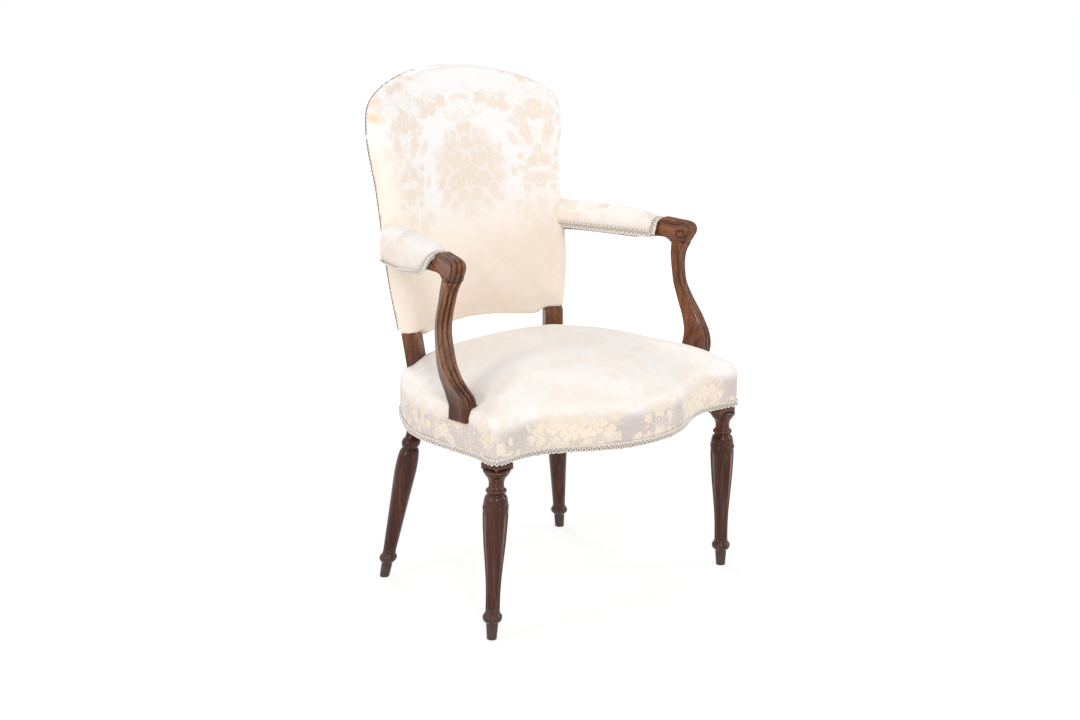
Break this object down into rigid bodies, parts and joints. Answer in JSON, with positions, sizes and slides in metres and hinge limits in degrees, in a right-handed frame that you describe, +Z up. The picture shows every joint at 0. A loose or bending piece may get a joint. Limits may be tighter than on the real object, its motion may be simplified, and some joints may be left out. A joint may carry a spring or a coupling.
{
  "type": "shield back chair",
  "caption": "Open armchair with an arched, upholstered back, padded arms on curved reeded supports, a stuffed-over seat and turned, fluted legs.",
  "frame": {"origin": "on the floor under the middle of the bounding box", "axes": "+Z up, -Y out of the chair's front, +X to the right as one faces the chair"},
  "size_m": [0.6558, 0.5834, 0.945],
  "materials": {
    "mahogany": "polished, dark reddish brown",
    "beech": "bare",
    "silk": "ivory floral damask",
    "gimp": "woven braid",
    "webbing": "coarse woven strap",
    "hessian": "coarse cloth",
    "horsehair": "matted hair",
    "calico": "plain cloth",
    "steel": "wood screws"
  },
  "bodies": {
    "root": {"front_leg_right": "mahogany", "front_leg_left": "mahogany", "back_post_right": "mahogany", "back_post_left": "mahogany", "front_seat_rail": "beech", "side_seat_rail_right": "beech", "side_seat_rail_left": "beech", "rear_seat_rail": "beech", "front_corner_block_right": "beech", "front_corner_block_left": "beech", "front_corner_screw_right": "steel", "front_corner_screw_left": "steel", "rear_corner_block_right": "beech", "rear_corner_block_left": "beech", "rear_corner_screw_right": "steel", "rear_corner_screw_left": "steel", "crest_rail": "beech", "bottom_back_rail": "beech", "arm_rail_right": "mahogany", "arm_rail_left": "mahogany", "arm_screw_right": "steel", "arm_screw_left": "steel", "arm_support_right": "mahogany", "arm_support_left": "mahogany", "arm_support_screw_right": "steel", "arm_support_screw_left": "steel", "arm_pad_stuffing_right": "horsehair", "arm_pad_stuffing_left": "horsehair", "arm_pad_cover_right": "silk", "arm_pad_cover_left": "silk", "arm_gimp_right": "gimp", "arm_gimp_left": "gimp", "seat_webbing_across_1": "webbing", "seat_webbing_across_2": "webbing", "seat_webbing_across_3": "webbing", "seat_webbing_along_1": "webbing", "seat_webbing_along_2": "webbing", "seat_webbing_along_3": "webbing", "seat_hessian": "hessian", "seat_stuffing": "horsehair", "seat_cover": "silk", "seat_gimp": "gimp", "bottom_cloth": "calico", "back_webbing_left": "webbing", "back_webbing_right": "webbing", "back_webbing_lower": "webbing", "back_webbing_upper": "webbing", "back_hessian": "hessian", "back_stuffing": "horsehair", "back_front_cover": "silk", "back_rear_cover": "silk"}
  },
  "joints": []
}
